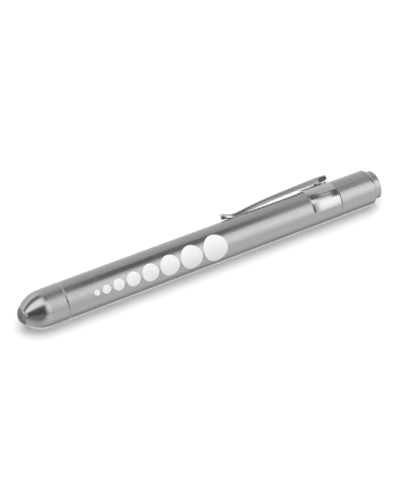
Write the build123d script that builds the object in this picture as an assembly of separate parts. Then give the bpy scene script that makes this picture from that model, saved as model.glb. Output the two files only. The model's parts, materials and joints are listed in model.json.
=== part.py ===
from build123d import *

import os
from math import cos, radians, sin, sqrt

# A slim aluminium diagnostic pen torch with a pocket clip and a push-button in its tail.
# It lies along X. The lens looks towards -X and the button faces +X. X = 0 is the seam
# between the barrel and the tail sleeve, on the axis of the torch. +Z is up. Millimetres.

# ---- Driving dimensions: the outside ----
BARREL_WALL = 0.75  # wall outside the barrel's threaded sockets
SEAM_CHAMFER = 0.25  # broken edge on both sides of each screwed seam
SEAM_GAP = 0.05  # the faces of a screwed seam stop this far apart

HEAD_STRAIGHT = 6.8  # straight part of the head, from the seam to the nose
NOSE_LENGTH = 7.4  # turned nose, one arc that starts tangent to the straight part
NOSE_ARC_R = 10.2
NOSE_RIM = 0.3  # rounded rim in front of the nose arc
NOSE_RIM_R = 0.35
NOSE_LIP = 0.12  # flat ring between the rim and the lens

TAIL_STRAIGHT = 13.4  # straight part of the tail sleeve, from the seam
TAIL_ROUND = 1.1  # length of the rounded end of the tail sleeve
TAIL_DROP = 0.6  # how much smaller the tail sleeve is in radius where it ends
CUT = 1.0  # how far a cutting shape runs past what it cuts

# ---- Driving dimensions: what the barrel holds ----
CELL_R = 5.25  # AAA cell over its jacket
CELL_LENGTH = 44.5  # AAA cell from its base to the top of its positive cap
CELL_CLEARANCE = 0.2  # radial, cell to barrel
CELL_CAP_R = 1.9
CELL_CAP_HEIGHT = 0.9
CELL_CAP_EDGE = 0.3  # rounded edge of the positive cap
CELL_JACKET = 0.15  # wall of the printed jacket
CELL_CAN_WALL = 0.3
CELL_SEAL_HEIGHT = 1.2
CELL_TO_NECK = 1.0  # from the last cell's base to the tail bushing's neck

# ---- Driving dimensions: the screwed joints ----
NECK_LENGTH = 6.0  # male neck on the head and on the tail bushing
NECK_WALL = 0.65  # wall of a neck under its thread
THREAD_CLEARANCE = 0.3  # radial, from the neck's thread root to the barrel's threaded socket
SOCKET_EXTRA = 0.5  # the barrel's socket is this much deeper than the neck

# ---- Driving dimensions: head and lamp ----
LENS_BALL_R = 4.05  # front surface of the lens
LENS_PROUD = 1.37  # how far the lens stands out of the nose
LENS_FIT = 0.05  # radial, lens barrel in the aperture
LENS_LEDGE = 0.6  # radial, lens seat around the aperture
LENS_SEAT_DEPTH = 1.3  # from the nose's front face to the lens seat
LENS_FLANGE = 1.0
RETAINER_LENGTH = 1.0
RETAINER_WALL = 0.55
REFLECTOR_LEDGE = 0.45  # radial, reflector bore outside the lens seat
REFLECTOR_FRONT_WALL = 0.65
REFLECTOR_REAR_WALL = 1.1
LED_R = 2.5  # 5 mm round LED
LED_CLEARANCE = 0.1  # radial, LED in the lamp holder
LED_FLANGE_R = 2.9
LED_FLANGE = 1.0
LED_HEIGHT = 7.6  # from the flange to the top of the dome
LED_LEAD_R = 0.25
LED_LEAD_PITCH = 2.54
LAMP_SEAT = 4.6  # the head's lamp seat, in front of the barrel's front face
LAMP_LEDGE = 0.8  # radial, lamp seat outside the reflector bore
LAMP_CLEARANCE = 0.08  # radial, lamp holder in the head's bore
LAMP_HOLDER_LENGTH = 11.5
LAMP_HOLDER_WALL = 0.8
LAMP_HOLDER_FACE = 1.0
BOARD_THICKNESS = 0.8
BOARD_GAP = 0.6  # LED flange to board, and board to insulator pocket
INSULATOR_WALL = 0.8  # around the pocket for the lead ends
LAMP_CONTACT_R = 2.2
LAMP_CONTACT_HEAD = 0.8
LAMP_CONTACT_PROUD = 2.1  # how far the contact stands out of the lamp holder
LAMP_CONTACT_SHANK_R = 0.85

# ---- Driving dimensions: tail switch ----
BUTTON_LEDGE = 0.5  # radial, from the button to the bore of the tail sleeve
BUTTON_CLEARANCE = 0.12  # radial, button in the tail sleeve's mouth
BUTTON_PROUD = 2.6  # how far the button stands out of the tail sleeve
BUTTON_TRAVEL = 1.8
BUTTON_EDGE = 0.4
BUTTON_WALL = 0.8
BUTTON_TOP = 2.6
BUTTON_SKIRT = 3.9  # skirt below the retaining flange's top
BUTTON_FLANGE = 1.6
MOUTH_LENGTH = 2.0  # narrow mouth that keeps the button in
FLANGE_CLEARANCE = 0.15  # radial, button flange in the sleeve
TAIL_WALL = 0.7  # wall of the tail sleeve around the switch
BUSHING_SEAT = 4.0  # how far the tail bushing reaches into the tail sleeve
SWITCH_BELOW = 2.5  # switch body below the seam
SWITCH_FLOOR = 1.0
CHAMBER_ROOF = 0.6  # switch body between the bridge's chamber and the flange
SWITCH_FLANGE = 1.0
SWITCH_TOP = 2.0  # switch body above its flange
SWITCH_TOP_GAP = 0.6  # radial, top of the switch body in the button's skirt
STEM_R = 1.5
STEM_CLEARANCE = 0.1
STEM_OVERTRAVEL = 0.4
BRIDGE_R = 2.6  # contact disc on the inner end of the stem
BRIDGE_THICKNESS = 0.4
BRIDGE_OVERLAP = 0.6  # radial, bridge over the switch body's floor
BRIDGE_CLEARANCE = 0.4  # radial, bridge in its chamber
TERMINAL_MARGIN = 1.4  # radial, from the terminal to the edge of the switch body
TERMINAL_THICKNESS = 0.25
TERMINAL_RISE = 0.3  # raised middle of the terminal, above the switch body's floor
CUP_CLEARANCE = 0.4  # radial, contact cup in the tail bushing
CUP_FLOOR = 0.4
CUP_RIM = 1.1
CUP_WALL = 0.35
CONTACT_WIRE_R = 0.3
CONTACT_COIL_GAP = 1.05  # radial, inside of the contact cup to the coil's outside
CONTACT_TURNS = 3.0
RETURN_WIRE_R = 0.22
RETURN_COIL_R = 2.9
RETURN_TURNS = 6.0

# ---- Driving dimensions: pocket clip ----
CLIP_ANGLE = 42.7  # direction of the clip around the torch, from +Y towards +Z
BAND_WALL = 0.6
BAND_LENGTH = 10.6
BAND_TO_SEAM = 0.5  # from the band's rear edge to the barrel's rear face
BAND_HALF_ANGLE = 110.0  # the band is open at the back
FOOT_LENGTH = 3.5  # pad on the band that the arm springs from
FOOT_WIDTH = 3.0
FOOT_TO_EDGE = 0.5  # from the pad to the band's rear edge
CLIP_UNDER = 1.2  # from the barrel's surface to the arm's underside at the foot
CLIP_TOP = 3.05  # from the barrel's surface to the top of the arm at the foot
CLIP_OVERHANG = 1.3  # arm behind the foot
CLIP_LENGTH = 43.5  # arm from its rear end to its tip
CLIP_REACH = 38.0  # arm from its root to where it bears on the barrel
CLIP_WIDTH = 3.8
CLIP_TIP_WIDTH = 2.8
CLIP_SHEET = 0.55  # sheet that the arm is pressed from
CLIP_SOLID_TIP = 8.0  # from the bearing point to where the channel under the arm starts
CLIP_FLAT_FRONT = 1.0  # flat that bears on the barrel, in front of and behind the bearing point
CLIP_FLAT_REAR = 2.0
CLIP_END_ROUND = 0.9  # length of the rounded rear end
CLIP_THROAT = 1.0  # from the barrel's surface to the top of the arm where it bears
CLIP_BOW_TOP = 2.35  # the same a third of the way back to the foot
CLIP_LIP_BEND = 6.0  # radius of the bend between the lip and the arm
CLIP_BOW_BEND = 180.0  # radius of the long bow
CLIP_LIP_TOP = 2.25  # from the barrel's surface to the top and the underside of the lip's end
CLIP_LIP_UNDER = 1.45
CLIP_GAP = 0.05  # arm to foot, and arm to barrel where it bears

# ---- Places along X that follow from the sizes above ----
FRONT_SPACE = LAMP_HOLDER_LENGTH - LAMP_SEAT + LAMP_CONTACT_PROUD
REAR_SPACE = NECK_LENGTH + CELL_TO_NECK
BARREL_LENGTH = FRONT_SPACE + 2 * CELL_LENGTH + REAR_SPACE
FRONT = -BARREL_LENGTH  # seam between the head and the barrel
BARREL_BORE_R = CELL_R + CELL_CLEARANCE
NECK_R = BARREL_BORE_R
SOCKET_R = NECK_R + THREAD_CLEARANCE
SOCKET_DEPTH = NECK_LENGTH + SOCKET_EXTRA
NECK_BORE_R = NECK_R - NECK_WALL
BODY_R = SOCKET_R + BARREL_WALL  # head, barrel and tail sleeve share this outer radius

REFLECTOR_R = NECK_BORE_R - LAMP_LEDGE
LENS_SEAT_R = REFLECTOR_R - REFLECTOR_LEDGE
APERTURE_R = LENS_SEAT_R - LENS_LEDGE  # opening that the lens looks out of
NOSE_END = FRONT - HEAD_STRAIGHT - NOSE_LENGTH
NOSE_FACE = NOSE_END - NOSE_RIM
NOSE_END_R = BODY_R - NOSE_ARC_R + sqrt(NOSE_ARC_R**2 - NOSE_LENGTH**2)
LENS_SEAT = NOSE_FACE + LENS_SEAT_DEPTH
LENS_BACK = LENS_SEAT + LENS_FLANGE
RETAINER_BACK = LENS_BACK + RETAINER_LENGTH
LAMP_FACE = FRONT - LAMP_SEAT + SEAM_GAP
LAMP_R = NECK_BORE_R - LAMP_CLEARANCE
LED_BASE = LAMP_FACE + LAMP_HOLDER_FACE
BOARD_FRONT = LED_BASE + LED_FLANGE + BOARD_GAP
BOARD_BACK = BOARD_FRONT + BOARD_THICKNESS
LAMP_HOLDER_END = LAMP_FACE + LAMP_HOLDER_LENGTH
FIRST_CELL = FRONT + FRONT_SPACE

SLEEVE_BORE_R = BODY_R - TAIL_WALL
TAIL_END_R = BODY_R - TAIL_DROP
BUTTON_R = SLEEVE_BORE_R - BUTTON_LEDGE
MOUTH_R = BUTTON_R + BUTTON_CLEARANCE
TAIL_END = TAIL_STRAIGHT + TAIL_ROUND
MOUTH = TAIL_END - MOUTH_LENGTH
BUTTON_END = TAIL_END + BUTTON_PROUD
BUTTON_FLANGE_R = SLEEVE_BORE_R - FLANGE_CLEARANCE
FLANGE_TOP = MOUTH - SEAM_GAP
SKIRT_END = FLANGE_TOP - BUTTON_SKIRT
BUTTON_BORE_R = BUTTON_R - BUTTON_WALL
BUTTON_CEILING = BUTTON_END - BUTTON_TOP
SWITCH_R = NECK_BORE_R
SWITCH_TOP_R = BUTTON_BORE_R - SWITCH_TOP_GAP
SWITCH_END = BUSHING_SEAT + SWITCH_FLANGE + SWITCH_TOP
STEM_BORE_R = STEM_R + STEM_CLEARANCE
BRIDGE_FLOOR = -SWITCH_BELOW + SWITCH_FLOOR
BRIDGE_REST = BRIDGE_FLOOR + STEM_OVERTRAVEL + BUTTON_TRAVEL
TERMINAL_R = SWITCH_R - TERMINAL_MARGIN
TERMINAL_BOSS_R = BRIDGE_R - BRIDGE_OVERLAP
CHAMBER_R = BRIDGE_R + BRIDGE_CLEARANCE
CUP_R = NECK_BORE_R - CUP_CLEARANCE
CUP_BACK = -SWITCH_BELOW - TERMINAL_THICKNESS - SEAM_GAP
CONTACT_COIL_R = CUP_R - CUP_WALL - CONTACT_COIL_GAP - CONTACT_WIRE_R

BAND_R = BODY_R + BAND_WALL
BAND_REAR = -BAND_TO_SEAM
FOOT_REAR = BAND_REAR - FOOT_TO_EDGE
CLIP_PIVOT = FOOT_REAR
CLIP_REAR = CLIP_PIVOT + CLIP_OVERHANG
CLIP_TIP = CLIP_REAR - CLIP_LENGTH
CLIP_BEARING = CLIP_PIVOT - CLIP_REACH
CLIP_BOW = CLIP_BEARING + CLIP_REACH / 3
CLIP_ROUND = CLIP_REAR - CLIP_END_ROUND
CLIP_MIDDLE = (CLIP_REAR + CLIP_BEARING) / 2 + CLIP_FLAT_REAR


# ---- Helpers ----
def turned(*path):
    """A solid turned about the X axis from points (x, radius) in order round its half section."""
    return revolve(make_face(Polyline(*path, close=True)), Axis.X)


def tube(x0, x1, outer, inner=0.0):
    """A straight tube or, with no inner radius, a rod along X."""
    return turned((x0, inner), (x1, inner), (x1, outer), (x0, outer))


def around(shape, angle):
    """Turn a shape made along +Y about the X axis, from +Y towards +Z."""
    return shape.rotate(Axis.X, angle)


def coil(x0, x1, coil_r, wire_r, turns):
    """An open compression spring of round wire between two planes across X."""
    height = x1 - x0 - 2 * wire_r
    path = Helix(pitch=height / turns, height=height, radius=coil_r)
    section = Plane(origin=path @ 0, z_dir=path % 0) * Circle(wire_r)
    spring = sweep(section, path=path)
    return spring.rotate(Axis.Y, 90).translate((x0 + wire_r, 0, 0))


def save(shape, name):
    shape.label = name
    export_step(shape, f"parts/{name}.step")


# ---- Head ----
def head_cap():
    """Turned head: straight part, ogive nose, stepped bore and male neck for the barrel."""
    back = FRONT - SEAM_GAP
    arc_start = FRONT - HEAD_STRAIGHT
    mid = NOSE_LENGTH / 2
    mid_r = BODY_R - NOSE_ARC_R + sqrt(NOSE_ARC_R**2 - mid**2)
    rim_r = APERTURE_R + NOSE_LIP
    nose = ThreePointArc((arc_start, BODY_R), (arc_start - mid, mid_r), (NOSE_END, NOSE_END_R))
    rim = RadiusArc((NOSE_END, NOSE_END_R), (NOSE_FACE, rim_r), -NOSE_RIM_R)
    inside = Polyline(
        (NOSE_FACE, rim_r),
        (NOSE_FACE, APERTURE_R),
        (LENS_SEAT, APERTURE_R),
        (LENS_SEAT, LENS_SEAT_R),
        (RETAINER_BACK, LENS_SEAT_R),
        (RETAINER_BACK, REFLECTOR_R),
        (FRONT - LAMP_SEAT, REFLECTOR_R),
        (FRONT - LAMP_SEAT, NECK_BORE_R),
        (FRONT + NECK_LENGTH, NECK_BORE_R),
        (FRONT + NECK_LENGTH, NECK_R),
        (back, NECK_R),
        (back, BODY_R - SEAM_CHAMFER),
        (back - SEAM_CHAMFER, BODY_R),
        (arc_start, BODY_R),
    )
    return revolve(make_face([nose, rim, inside]), Axis.X)


def front_lens():
    """Glass lens: a ball-nosed barrel through the aperture, with a flange behind it."""
    barrel_r = APERTURE_R - LENS_FIT
    centre = NOSE_FACE - LENS_PROUD + LENS_BALL_R
    body = tube(centre - LENS_BALL_R, LENS_BACK, barrel_r)
    ball = Sphere(LENS_BALL_R).translate((centre, 0, 0))
    keep = tube(LENS_SEAT, LENS_BACK, barrel_r)
    flange = tube(LENS_SEAT, LENS_BACK, LENS_SEAT_R - LENS_FIT)
    return (body & ball) + keep + flange


def lens_retaining_ring():
    return tube(LENS_BACK, RETAINER_BACK, LENS_SEAT_R, LENS_SEAT_R - RETAINER_WALL)


def reflector():
    """Conical mirror between the lamp and the lens."""
    rear = FRONT - LAMP_SEAT
    return turned(
        (RETAINER_BACK, REFLECTOR_R - REFLECTOR_FRONT_WALL),
        (RETAINER_BACK, REFLECTOR_R),
        (rear, REFLECTOR_R),
        (rear, REFLECTOR_R - REFLECTOR_REAR_WALL),
    )


# ---- Lamp module, which slides out with the head but does not turn ----
def lamp_holder():
    """Brass shell with a hole in its face for the LED."""
    inner = LAMP_R - LAMP_HOLDER_WALL
    return turned(
        (LAMP_FACE, LED_R + LED_CLEARANCE),
        (LAMP_FACE, LAMP_R),
        (LAMP_HOLDER_END, LAMP_R),
        (LAMP_HOLDER_END, inner),
        (LED_BASE, inner),
        (LED_BASE, LED_R + LED_CLEARANCE),
    )


def led_body():
    """Clear 5 mm LED: flange, barrel and dome."""
    dome = LED_BASE - LED_HEIGHT + LED_R
    body = tube(dome, LED_BASE + LED_FLANGE, LED_R)
    flange = tube(LED_BASE, LED_BASE + LED_FLANGE, LED_FLANGE_R)
    return body + flange + Sphere(LED_R).translate((dome, 0, 0))


def led_leads():
    """Two straight wires from the LED through the board."""
    start = LED_BASE + LED_FLANGE
    end = BOARD_BACK + BOARD_GAP / 2
    wire = tube(start, end, LED_LEAD_R)
    half = LED_LEAD_PITCH / 2
    return Compound([wire.translate((0, half, 0)), wire.translate((0, -half, 0))])


def lamp_board():
    """Round circuit board with two lead holes."""
    inner = LAMP_R - LAMP_HOLDER_WALL
    board = tube(BOARD_FRONT, BOARD_BACK, inner)
    hole = tube(BOARD_FRONT - CUT, BOARD_BACK + CUT, LED_LEAD_R)
    half = LED_LEAD_PITCH / 2
    return board - hole.translate((0, half, 0)) - hole.translate((0, -half, 0))


def lamp_insulator():
    """Plastic core that carries the centre contact, with a pocket for the lead ends."""
    outer = LAMP_R - LAMP_HOLDER_WALL
    pocket = BOARD_BACK + BOARD_GAP
    rear = FIRST_CELL - LAMP_CONTACT_HEAD
    return turned(
        (BOARD_BACK, outer - INSULATOR_WALL),
        (BOARD_BACK, outer),
        (rear, outer),
        (rear, LAMP_CONTACT_SHANK_R),
        (pocket, LAMP_CONTACT_SHANK_R),
        (pocket, outer - INSULATOR_WALL),
    )


def lamp_contact():
    """Brass rivet that the first cell presses on."""
    head = FIRST_CELL - LAMP_CONTACT_HEAD
    shank = tube(BOARD_BACK, head, LAMP_CONTACT_SHANK_R)
    return shank + tube(head, FIRST_CELL, LAMP_CONTACT_R)


# ---- Barrel ----
def barrel():
    """Plain tube with a threaded socket at each end."""
    chamfered = turned(
        (FRONT, 0),
        (FRONT, BODY_R - SEAM_CHAMFER),
        (FRONT + SEAM_CHAMFER, BODY_R),
        (-SEAM_CHAMFER, BODY_R),
        (0, BODY_R - SEAM_CHAMFER),
        (0, 0),
    )
    bore = tube(FRONT - CUT, CUT, BARREL_BORE_R)
    front_socket = tube(FRONT - CUT, FRONT + SOCKET_DEPTH, SOCKET_R)
    rear_socket = tube(-SOCKET_DEPTH, CUT, SOCKET_R)
    return chamfered - bore - front_socket - rear_socket


# ---- Cells ----
def cell_can(start):
    """Steel can, closed at the base."""
    mouth = start + CELL_CAP_HEIGHT + CELL_SEAL_HEIGHT
    base = start + CELL_LENGTH
    outer = CELL_R - CELL_JACKET
    inside = tube(mouth - CUT, base - CELL_CAN_WALL, outer - CELL_CAN_WALL)
    return tube(mouth, base, outer) - inside


def cell_core(start):
    """Pressed electrode mix that fills the can."""
    mouth = start + CELL_CAP_HEIGHT + CELL_SEAL_HEIGHT
    return tube(mouth, start + CELL_LENGTH - CELL_CAN_WALL, CELL_R - CELL_JACKET - CELL_CAN_WALL)


def cell_seal(start):
    """Plastic seal between the can and the positive cap."""
    shoulder = start + CELL_CAP_HEIGHT
    return tube(shoulder, shoulder + CELL_SEAL_HEIGHT, CELL_R - CELL_JACKET, CELL_CAP_R)


def cell_cap(start):
    """Positive cap with a rounded edge."""
    shoulder = start + CELL_CAP_HEIGHT
    cap = tube(start, shoulder + CELL_SEAL_HEIGHT, CELL_CAP_R)
    return fillet(cap.edges().sort_by(Axis.X)[0], CELL_CAP_EDGE)


def cell_jacket(start):
    """Printed sleeve over the can and the seal."""
    shoulder = start + CELL_CAP_HEIGHT
    end = start + CELL_LENGTH
    return tube(shoulder, end, CELL_R, CELL_R - CELL_JACKET)


# ---- Battery contact, which slides out with the tail but does not turn ----
def contact_cup():
    """Brass cup that the battery spring sits in."""
    floor = CUP_BACK - CUP_FLOOR
    return turned(
        (CUP_BACK, 0),
        (CUP_BACK, CUP_R),
        (floor - CUP_RIM, CUP_R),
        (floor - CUP_RIM, CUP_R - CUP_WALL),
        (floor, CUP_R - CUP_WALL),
        (floor, 0),
    )


def contact_spring():
    return coil(-REAR_SPACE, CUP_BACK - CUP_FLOOR, CONTACT_COIL_R, CONTACT_WIRE_R, CONTACT_TURNS)


# ---- Tail ----
def tail_sleeve():
    """Outer sleeve with a rounded end and a narrow mouth that keeps the button in."""
    rounded = TangentArc((TAIL_STRAIGHT, BODY_R), (TAIL_END, TAIL_END_R), tangent=(1, 0))
    rest = Polyline(
        (TAIL_END, TAIL_END_R),
        (TAIL_END, MOUTH_R),
        (MOUTH, MOUTH_R),
        (MOUTH, SLEEVE_BORE_R),
        (SEAM_GAP, SLEEVE_BORE_R),
        (SEAM_GAP, BODY_R - SEAM_CHAMFER),
        (SEAM_GAP + SEAM_CHAMFER, BODY_R),
        (TAIL_STRAIGHT, BODY_R),
    )
    return revolve(make_face([rounded, rest]), Axis.X)


def tail_bushing():
    """Bushing pressed into the sleeve, with the male neck that screws into the barrel."""
    return turned(
        (-NECK_LENGTH, NECK_BORE_R),
        (-NECK_LENGTH, NECK_R),
        (SEAM_GAP, NECK_R),
        (SEAM_GAP, SLEEVE_BORE_R),
        (BUSHING_SEAT, SLEEVE_BORE_R),
        (BUSHING_SEAT, NECK_BORE_R),
    )


def switch_body():
    """Insulating switch body with a guide bore for the stem and a chamber for the bridge."""
    chamber_end = BUSHING_SEAT - CHAMBER_ROOF
    return turned(
        (-SWITCH_BELOW, TERMINAL_BOSS_R),
        (-SWITCH_BELOW, SWITCH_R),
        (BUSHING_SEAT, SWITCH_R),
        (BUSHING_SEAT, SLEEVE_BORE_R),
        (BUSHING_SEAT + SWITCH_FLANGE, SLEEVE_BORE_R),
        (BUSHING_SEAT + SWITCH_FLANGE, SWITCH_TOP_R),
        (SWITCH_END, SWITCH_TOP_R),
        (SWITCH_END, STEM_BORE_R),
        (chamber_end, STEM_BORE_R),
        (chamber_end, CHAMBER_R),
        (BRIDGE_FLOOR, CHAMBER_R),
        (BRIDGE_FLOOR, TERMINAL_BOSS_R),
    )


def switch_terminal():
    """Brass plate under the switch body, with a raised middle that the bridge closes on."""
    plate = tube(-SWITCH_BELOW - TERMINAL_THICKNESS, -SWITCH_BELOW, TERMINAL_R)
    return plate + tube(-SWITCH_BELOW, BRIDGE_FLOOR + TERMINAL_RISE, TERMINAL_BOSS_R)


# ---- Button ----
def push_button():
    """Turned cap with a skirt and the flange that the sleeve's mouth holds back."""
    flange_base = FLANGE_TOP - BUTTON_FLANGE
    body = turned(
        (BUTTON_CEILING, 0),
        (BUTTON_CEILING, BUTTON_BORE_R),
        (SKIRT_END, BUTTON_BORE_R),
        (SKIRT_END, BUTTON_R),
        (flange_base, BUTTON_R),
        (flange_base, BUTTON_FLANGE_R),
        (FLANGE_TOP, BUTTON_FLANGE_R),
        (FLANGE_TOP, BUTTON_R),
        (BUTTON_END, BUTTON_R),
        (BUTTON_END, 0),
    )
    rim = body.edges().filter_by(GeomType.CIRCLE).sort_by(Axis.X)[-1]
    return fillet(rim, BUTTON_EDGE)


def switch_stem():
    """Plastic stem between the button and the bridge."""
    return tube(BRIDGE_REST + BRIDGE_THICKNESS, BUTTON_CEILING, STEM_R)


def switch_bridge():
    """Brass disc that the stem presses on the terminal."""
    return tube(BRIDGE_REST, BRIDGE_REST + BRIDGE_THICKNESS, BRIDGE_R)


def return_spring():
    return coil(SWITCH_END, BUTTON_CEILING, RETURN_COIL_R, RETURN_WIRE_R, RETURN_TURNS)


# ---- Pocket clip, made along +Y and then turned to CLIP_ANGLE ----
def clip_band():
    """Spring band around the barrel, open at the back, with the pad that the arm stands on."""
    start = BAND_REAR - BAND_LENGTH
    ring = tube(start, BAND_REAR, BAND_R, BODY_R)
    far = 3 * BODY_R
    half = radians(BAND_HALF_ANGLE)
    lower = (far * cos(half), far * sin(half))
    upper = (far * cos(half), -far * sin(half))
    gap = make_face(Polyline((0, 0), lower, (-2 * far, far), (-2 * far, -far), upper, close=True))
    band = ring - extrude(Plane.YZ.offset(start - CUT) * gap, amount=BAND_LENGTH + 2 * CUT)
    height = CLIP_UNDER - CLIP_GAP
    pad = Box(FOOT_LENGTH, height, FOOT_WIDTH, align=(Align.MAX, Align.MIN, Align.CENTER))
    pad = pad.translate((FOOT_REAR, BODY_R, 0)) - tube(start, 0, BODY_R + BAND_WALL / 2)
    return around(band + pad, CLIP_ANGLE)


def clip_back(drop):
    """Top line of the arm, lowered by drop: down from the lip to the bearing point, then one long bow."""
    surface = BODY_R - drop
    return FilletPolyline(
        (CLIP_TIP, surface + CLIP_LIP_TOP),
        (CLIP_BEARING, surface + CLIP_THROAT),
        (CLIP_BOW, surface + CLIP_BOW_TOP),
        (CLIP_ROUND, surface + CLIP_TOP),
        radius=(CLIP_LIP_BEND, CLIP_BOW_BEND),
    )


def clip_side():
    """Side view of the arm: its top line, a rounded rear end, a flat that bears and a turned-up lip."""
    top = BODY_R + CLIP_TOP
    under = BODY_R + CLIP_UNDER
    bearing = BODY_R + CLIP_GAP
    lip_end = (CLIP_TIP, BODY_R + CLIP_LIP_UNDER)
    end = ThreePointArc((CLIP_ROUND, top), (CLIP_REAR, (top + under) / 2), (CLIP_ROUND, under))
    belly = FilletPolyline(
        (CLIP_ROUND, under),
        (CLIP_MIDDLE, under),
        (CLIP_BEARING + CLIP_FLAT_REAR, bearing),
        (CLIP_BEARING - CLIP_FLAT_FRONT, bearing),
        lip_end,
        radius=(CLIP_BOW_BEND, CLIP_LIP_BEND, CLIP_LIP_BEND / 2),
    )
    tip = Line(lip_end, (CLIP_TIP, BODY_R + CLIP_LIP_TOP))
    return make_face([clip_back(0.0), end, belly, tip])


def clip_channel():
    """The hollow under the arm, between its side walls."""
    back = clip_back(CLIP_SHEET)
    below = Polyline(back @ 1, (CLIP_ROUND, 0), (CLIP_TIP, 0), back @ 0)
    width = CLIP_WIDTH - 2 * CLIP_SHEET
    under_top = extrude(Plane.XY.offset(-width / 2) * make_face([back, below]), amount=width)
    start = CLIP_BEARING + CLIP_SOLID_TIP
    end = CLIP_PIVOT - FOOT_LENGTH
    stretch = Box(end - start, 4 * BODY_R, 2 * width, align=(Align.MIN, Align.CENTER, Align.CENTER))
    return under_top & stretch.translate((start, 0, 0))


def clip_arm():
    """Pressed channel: a top and two side walls, tapered towards a turned-up lip."""
    half, half_tip = CLIP_WIDTH / 2, CLIP_TIP_WIDTH / 2
    rear, tip = CLIP_REAR + CUT, CLIP_TIP - CUT
    outline = Polyline((rear, half), (tip, half_tip), (tip, -half_tip), (rear, -half), close=True)
    plan = extrude(Plane.XZ.offset(CUT - BODY_R) * make_face(outline), amount=-2 * (CUT + CLIP_TOP))
    blank = extrude(Plane.XY.offset(-CLIP_WIDTH) * clip_side(), amount=2 * CLIP_WIDTH)
    return around((blank & plan) - clip_channel(), CLIP_ANGLE)


def main():
    os.makedirs("parts", exist_ok=True)
    plain = (
        head_cap,
        front_lens,
        lens_retaining_ring,
        reflector,
        lamp_holder,
        led_body,
        led_leads,
        lamp_board,
        lamp_insulator,
        lamp_contact,
        barrel,
        clip_band,
        clip_arm,
        contact_cup,
        contact_spring,
        tail_sleeve,
        tail_bushing,
        switch_body,
        switch_terminal,
        push_button,
        switch_stem,
        switch_bridge,
        return_spring,
    )
    for make in plain:
        save(make(), make.__name__)
    for place, start in (("front", FIRST_CELL), ("rear", FIRST_CELL + CELL_LENGTH)):
        for make in (cell_can, cell_core, cell_seal, cell_cap, cell_jacket):
            save(make(start), f"{place}_{make.__name__}")


main()
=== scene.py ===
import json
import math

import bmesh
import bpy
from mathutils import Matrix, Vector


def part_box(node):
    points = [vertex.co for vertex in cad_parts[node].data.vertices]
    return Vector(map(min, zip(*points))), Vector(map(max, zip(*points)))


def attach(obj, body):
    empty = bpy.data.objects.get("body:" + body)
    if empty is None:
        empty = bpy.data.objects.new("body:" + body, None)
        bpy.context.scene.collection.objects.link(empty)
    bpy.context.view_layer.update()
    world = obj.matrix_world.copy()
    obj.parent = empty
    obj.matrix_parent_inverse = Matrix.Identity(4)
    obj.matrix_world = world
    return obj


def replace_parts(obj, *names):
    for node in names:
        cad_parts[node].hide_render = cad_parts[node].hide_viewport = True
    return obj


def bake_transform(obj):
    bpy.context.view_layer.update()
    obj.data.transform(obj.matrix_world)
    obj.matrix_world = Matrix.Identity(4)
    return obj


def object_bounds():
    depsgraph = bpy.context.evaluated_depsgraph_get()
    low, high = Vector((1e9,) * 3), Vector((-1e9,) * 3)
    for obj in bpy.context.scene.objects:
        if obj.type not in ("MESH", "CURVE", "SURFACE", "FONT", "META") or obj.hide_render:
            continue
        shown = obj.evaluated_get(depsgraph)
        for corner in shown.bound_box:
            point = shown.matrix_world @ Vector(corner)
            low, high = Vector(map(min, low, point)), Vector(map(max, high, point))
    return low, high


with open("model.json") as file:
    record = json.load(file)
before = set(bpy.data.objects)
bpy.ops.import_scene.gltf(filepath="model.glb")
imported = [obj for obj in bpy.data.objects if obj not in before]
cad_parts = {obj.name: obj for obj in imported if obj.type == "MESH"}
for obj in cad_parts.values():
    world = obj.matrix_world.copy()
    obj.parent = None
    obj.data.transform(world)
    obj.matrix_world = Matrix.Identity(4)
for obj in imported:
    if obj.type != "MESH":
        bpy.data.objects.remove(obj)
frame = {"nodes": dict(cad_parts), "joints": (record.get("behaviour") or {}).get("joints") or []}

# %% [markdown]
# # A diagnostic pen torch
# The torch is a slim aluminium tube. Its lens is at -X, its push-button is at +X, and a
# chromed clip sits near the tail. The machined pieces come from CAD and stay as they are.
# Blender adds what CAD leaves out: the printed pupil gauge, the thread ridges, rounded
# sheet-metal edges, properly closed springs, the inside of the lamp, and every finish.

MM = 0.001
nodes = frame["nodes"]
cad_low, cad_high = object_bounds()
barrel_low, barrel_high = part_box("barrel")
BODY_R = barrel_high.z
FRONT_SEAM = barrel_low.x
TAIL_SEAM = barrel_high.x
print("barrel radius mm", round(BODY_R / MM, 2), "front seam mm", round(FRONT_SEAM / MM, 2))

# %% [markdown]
# ## Camera
# A short telephoto lens half a metre away keeps the tube's sides nearly parallel. The camera
# is placed by an azimuth and an elevation around a point near the middle of the torch, which
# is easier to adjust than a raw position.

# %% Camera
CAMERA_AZIMUTH, CAMERA_ELEVATION = math.radians(-28.5), math.radians(43.6)
CAMERA_DISTANCE = 0.505
middle = (cad_low + cad_high) / 2
aim = Vector((middle.x, 3.1 * MM, -3.5 * MM))
back = Vector(
    (
        math.sin(CAMERA_AZIMUTH) * math.cos(CAMERA_ELEVATION),
        -math.cos(CAMERA_AZIMUTH) * math.cos(CAMERA_ELEVATION),
        math.sin(CAMERA_ELEVATION),
    )
)
bpy.ops.object.camera_add(location=aim + back * CAMERA_DISTANCE)
camera = bpy.context.object
camera.rotation_euler = (-back).to_track_quat("-Z", "Y").to_euler()
camera.data.lens = 105.6
camera.data.sensor_width = 36.0
camera.data.clip_start, camera.data.clip_end = 0.01, 20.0
bpy.context.scene.camera = camera
bpy.context.scene.view_settings.view_transform = "Standard"

# %% [markdown]
# ## Small helpers
# An operator acts on everything that is selected, so each step starts from nothing selected.
# In edit mode, faces and points are picked by a test on their place, which is what a person
# does with a box select. A finished piece keeps its place in its mesh, and its object
# stays at the origin, so patterns on object coordinates stay where they are.

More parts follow.
